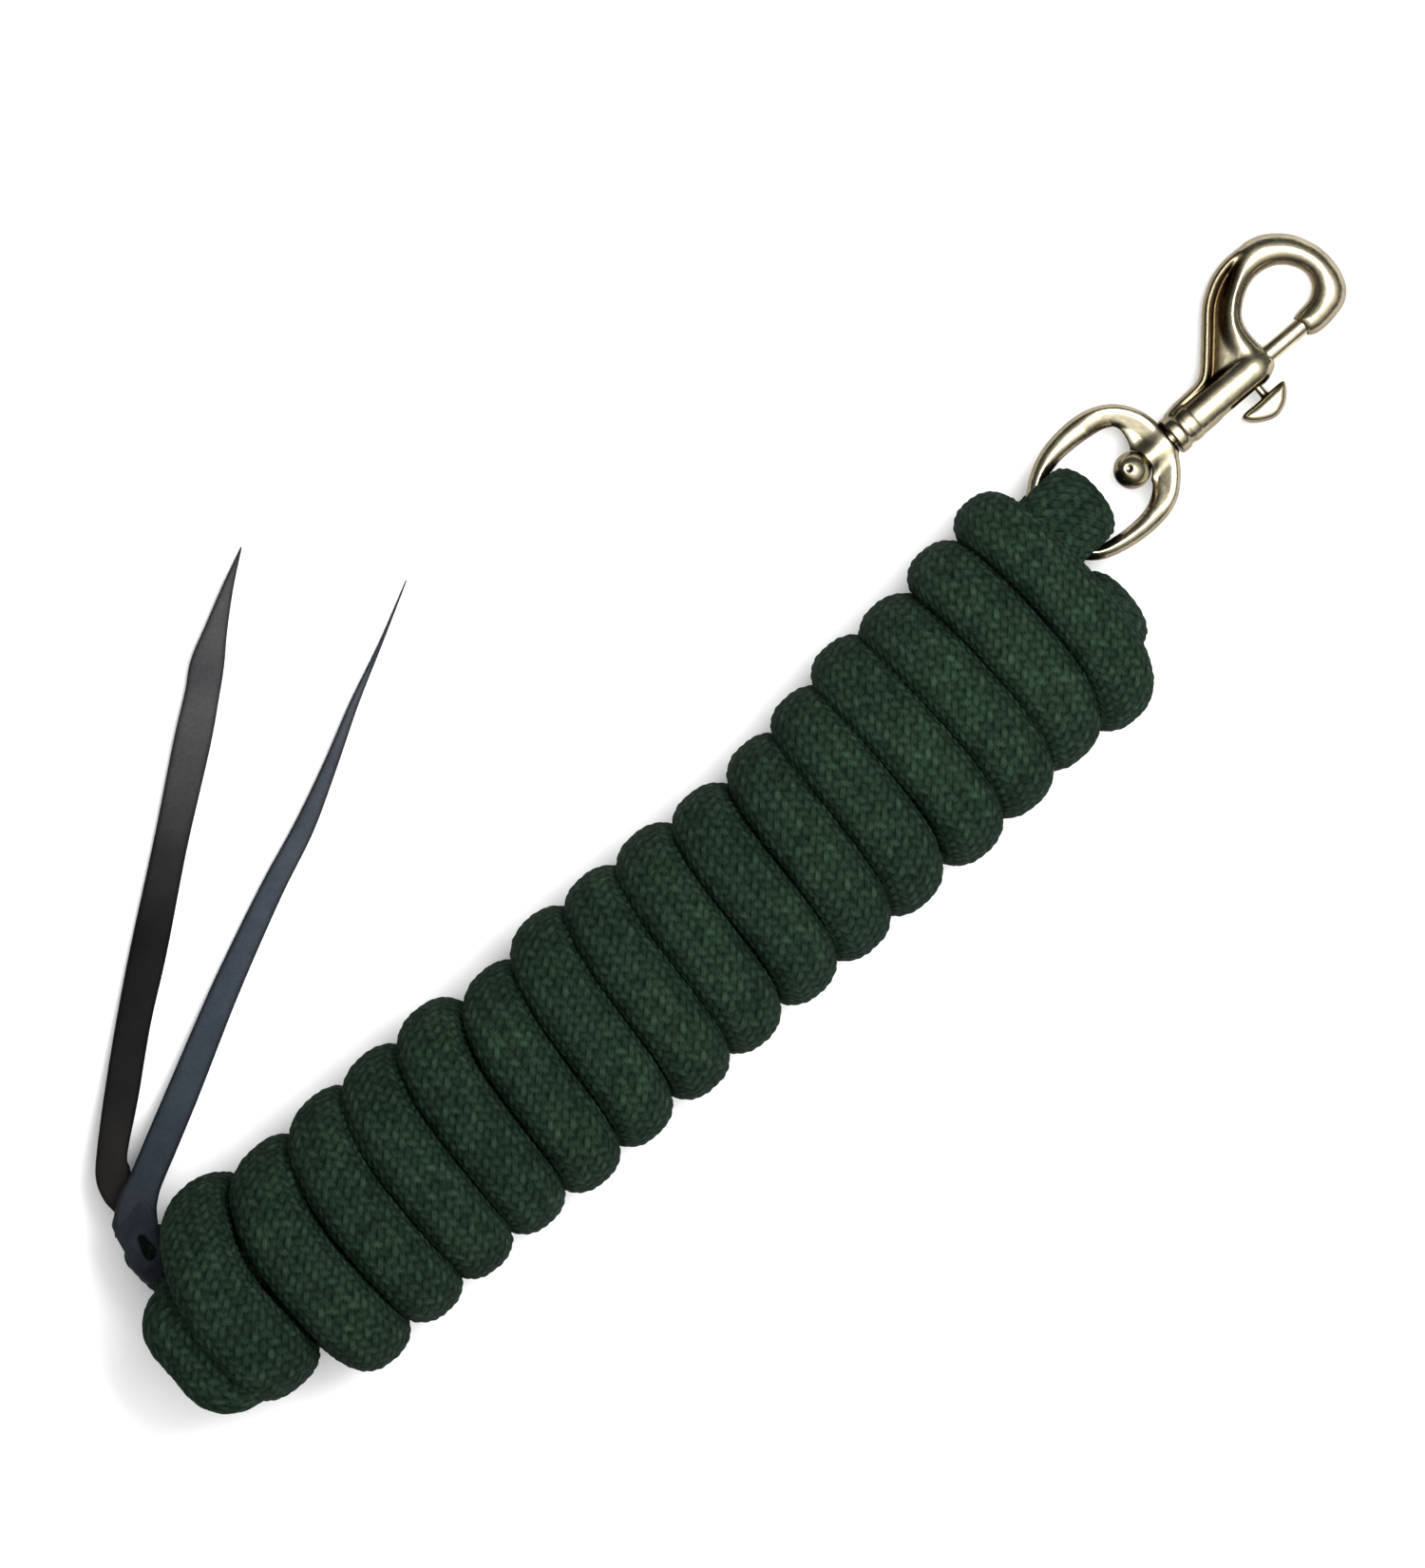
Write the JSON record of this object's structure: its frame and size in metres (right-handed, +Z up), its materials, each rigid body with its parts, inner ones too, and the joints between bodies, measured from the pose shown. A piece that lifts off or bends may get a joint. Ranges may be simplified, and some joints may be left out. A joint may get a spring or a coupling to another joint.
{
  "type": "lead rope",
  "caption": "Braided lead rope wound into a tight hank, with a brass swivel bolt snap in its eye and a forked leather popper on its tail.",
  "frame": {"origin": "bottom centre of the whole object's bounding box, on the surface that the hank lies on", "axes": "+X along the hank towards the bolt snap, +Y to the side that the leather popper lies on, +Z up"},
  "size_m": [0.439, 0.1962, 0.056],
  "materials": {
    "rope": "matt dark green braid",
    "brass_ring": "polished pale brass",
    "brass_pin": "polished pale brass",
    "brass_body": "polished pale brass",
    "brass_bolt": "polished pale brass",
    "brass_knob": "polished pale brass",
    "spring_steel": "bright drawn wire",
    "leather": "matt charcoal harness leather"
  },
  "bodies": {
    "rope": {"rope_hank": "rope", "rope_eye": "rope", "leather_popper": "leather"},
    "ring": {"swivel_ring": "brass_ring"},
    "snap": {"snap_body": "brass_body", "swivel_pin": "brass_pin", "bolt_spring": "spring_steel"},
    "bolt": {"snap_bolt": "brass_bolt", "thumb_knob": "brass_knob"}
  },
  "joints": [
    {"name": "ring_swing", "type": "hinge", "parent": "rope", "child": "ring", "pos_m": [0.1114, -0.04465, 0.0182], "axis": [0, 1, 0], "range_deg": [-60, 45]},
    {"name": "snap_swivel", "type": "hinge", "parent": "ring", "child": "snap", "pos_m": [0.14879, -0.04465, 0.01334], "axis": [0.9917, 0, -0.1288], "continuous": true},
    {"name": "bolt_slide", "type": "slide", "parent": "snap", "child": "bolt", "axis": [-0.9917, 0, 0.1288], "range_m": [0, 0.0124], "stiffness_N_per_m": 300, "springref_m": -0.01, "deforming": ["bolt_spring"]}
  ]
}
